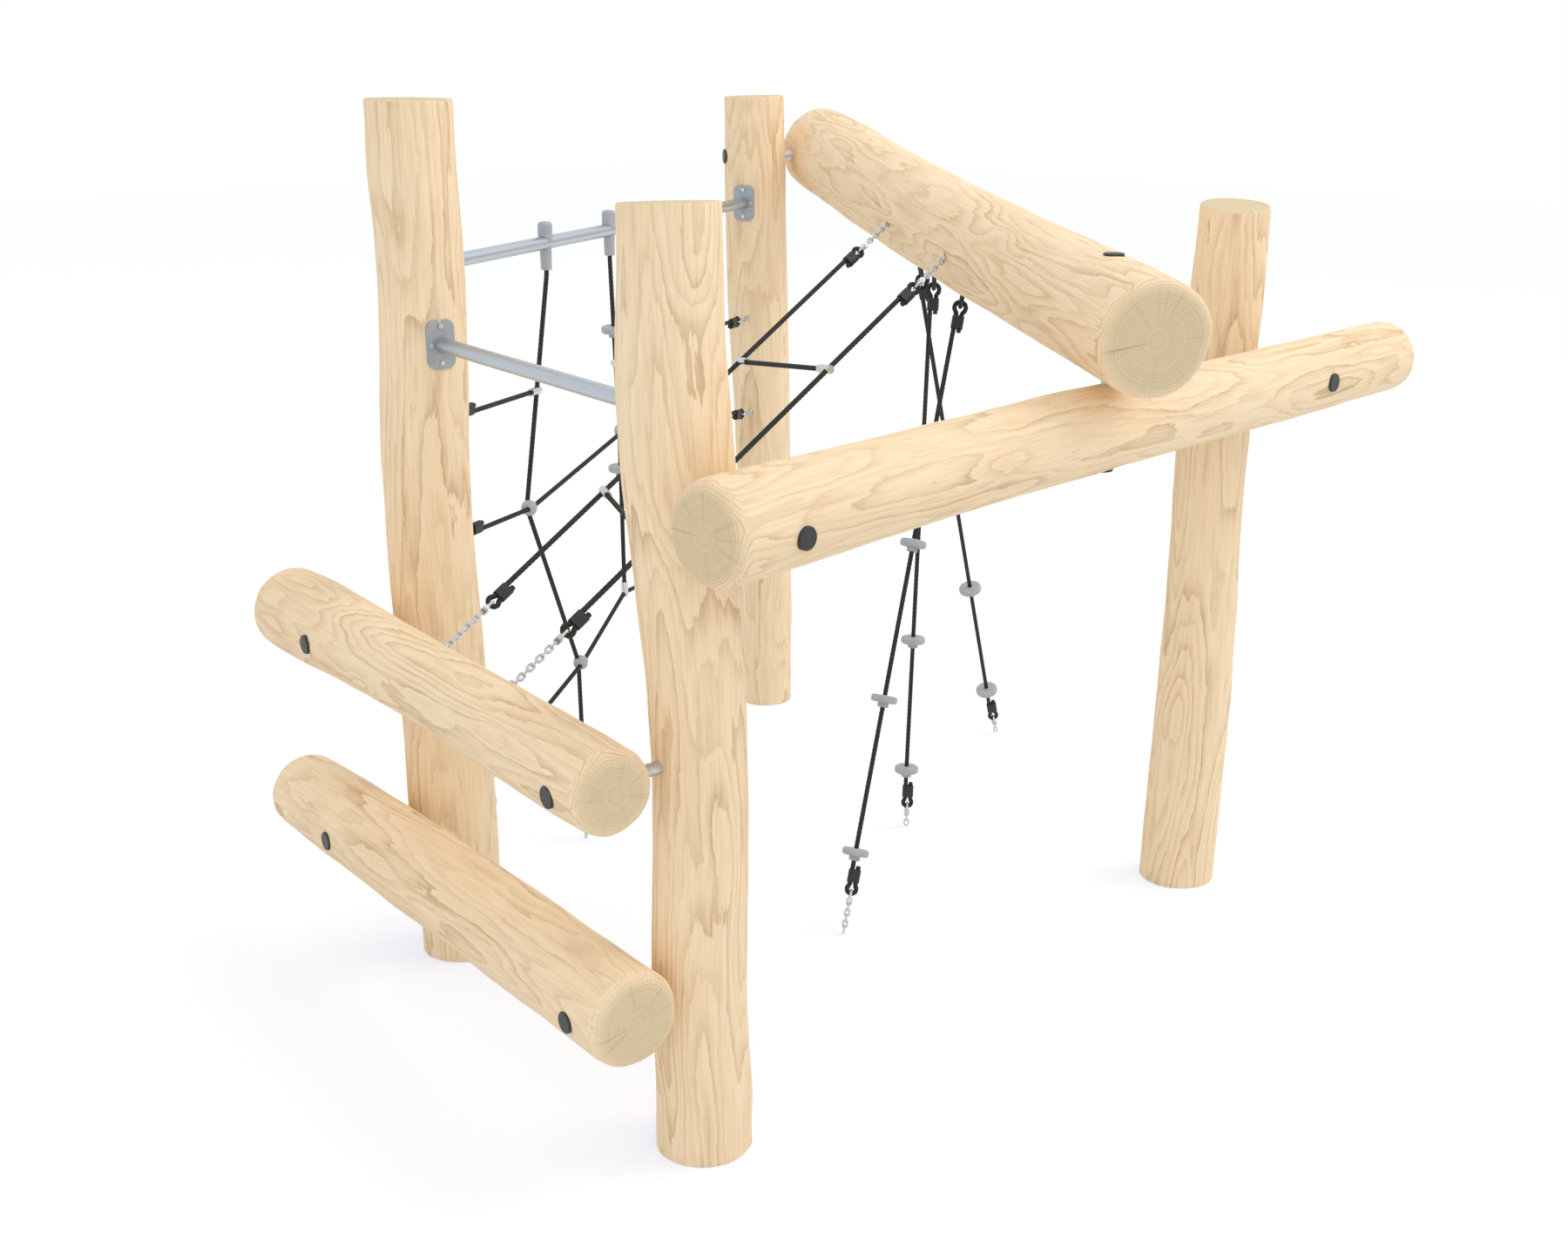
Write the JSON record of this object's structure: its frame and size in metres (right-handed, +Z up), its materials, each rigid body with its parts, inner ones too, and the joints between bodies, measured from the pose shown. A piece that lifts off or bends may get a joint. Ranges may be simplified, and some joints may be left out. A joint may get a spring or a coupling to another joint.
{
  "type": "climbing frame",
  "caption": "Playground climbing frame of debarked logs with steel bars, a rope net, a rope ladder and hanging ropes.",
  "frame": {"origin": "middle of the front post's foot, on the ground", "axes": "+Z up, +X from the front post to the right post, +Y towards the back post"},
  "size_m": [3.479, 3.0481, 2.5887],
  "materials": {
    "wood": "debarked and sanded robinia, open grain",
    "bar_steel": "satin stainless steel",
    "cast_grey": "satin grey casting",
    "zinc_steel": "zinc plated",
    "black_plastic": "matte",
    "rope": "braided polyester over a steel core",
    "black_ferrule": "black coated",
    "tee_aluminium": "satin",
    "grey_plastic": "moulded, matte"
  },
  "bodies": {
    "root": {"bar_flanges": "cast_grey", "bar_lower": "bar_steel", "bar_rope_caps": "cast_grey", "bar_rope_sleeves": "cast_grey", "bar_upper": "bar_steel", "beam_diagonal": "wood", "beam_front": "wood", "beam_side_lower": "wood", "beam_side_upper": "wood", "bolt_caps": "black_plastic", "flange_screws": "zinc_steel", "ground_chains": "zinc_steel", "ground_shackle_pins": "zinc_steel", "ground_shackles": "zinc_steel", "hanging_discs": "grey_plastic", "hanging_press_ferrules": "black_ferrule", "hanging_rope_back": "rope", "hanging_rope_front": "rope", "hanging_rope_middle": "rope", "ladder_chains": "zinc_steel", "ladder_press_ferrules": "black_ferrule", "ladder_rope_left": "rope", "ladder_rope_right": "rope", "ladder_rungs": "rope", "ladder_screw_eyes": "zinc_steel", "ladder_shackle_pins": "zinc_steel", "ladder_shackles": "zinc_steel", "ladder_tees": "tee_aluminium", "net_chains": "zinc_steel", "net_cross_clamps": "grey_plastic", "net_discs": "grey_plastic", "net_press_ferrules": "black_ferrule", "net_rope_first": "rope", "net_rope_lower": "rope", "net_rope_middle": "rope", "net_rope_second": "rope", "net_rope_upper_left": "rope", "net_rope_upper_right": "rope", "net_screw_eyes": "zinc_steel", "net_shackle_pins": "zinc_steel", "net_shackles": "zinc_steel", "net_tees": "tee_aluminium", "nuts": "zinc_steel", "post_back": "wood", "post_front": "wood", "post_left": "wood", "post_right": "wood", "rope_hangers": "rope", "spacer_sleeves": "bar_steel", "through_rods": "zinc_steel", "washers": "zinc_steel"}
  },
  "joints": []
}
